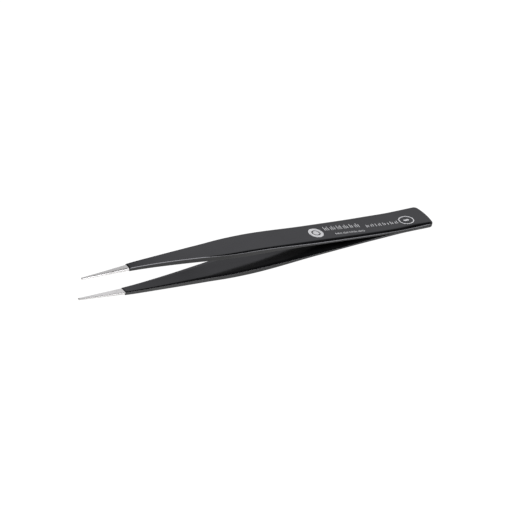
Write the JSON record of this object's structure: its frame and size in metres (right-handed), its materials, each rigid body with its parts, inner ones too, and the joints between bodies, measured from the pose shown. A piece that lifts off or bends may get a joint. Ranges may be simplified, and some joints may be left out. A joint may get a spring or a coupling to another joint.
{
  "type": "precision tweezers",
  "caption": "Straight fine-pointed precision tweezers: black-coated spring-steel arms welded together at the tail, with bare steel tips that meet when the arms are squeezed.",
  "frame": {"origin": "middle of the overall box at rest, on the plane midway between the arms", "axes": "+X along the length from the tips to the welded tail, +Y across the width of the arms, +Z the way the upper arm bows out, so the arms close along Z"},
  "size_m": [0.13, 0.0106, 0.0104],
  "materials": {
    "steel": "satin, finely ground lengthwise",
    "coating": "satin black epoxy",
    "print": "matt pale ink"
  },
  "bodies": {
    "tail": {"upper_tail_plate": "steel", "lower_tail_plate": "steel", "spot_welds": "steel", "tail_coating": "coating", "code_print": "print", "symbol_print": "print"},
    "upper_arm": {"upper_blade": "steel", "upper_coating": "coating", "emblem_print": "print", "name_print": "print"},
    "lower_arm": {"lower_blade": "steel", "lower_coating": "coating"}
  },
  "joints": [
    {"name": "upper_arm_flex", "type": "hinge", "parent": "tail", "child": "upper_arm", "pos_m": [0.0397, 0, 0.00101], "axis": [0, -1, 0], "range_deg": [0, 1.87], "stiffness_Nm_per_rad": 2},
    {"name": "lower_arm_flex", "type": "hinge", "parent": "tail", "child": "lower_arm", "pos_m": [0.0397, 0, -0.00101], "axis": [0, 1, 0], "range_deg": [0, 1.87], "stiffness_Nm_per_rad": 2}
  ],
  "couplings": [
    {"joint": "lower_arm_flex", "follows": "upper_arm_flex", "ratio": 1}
  ]
}
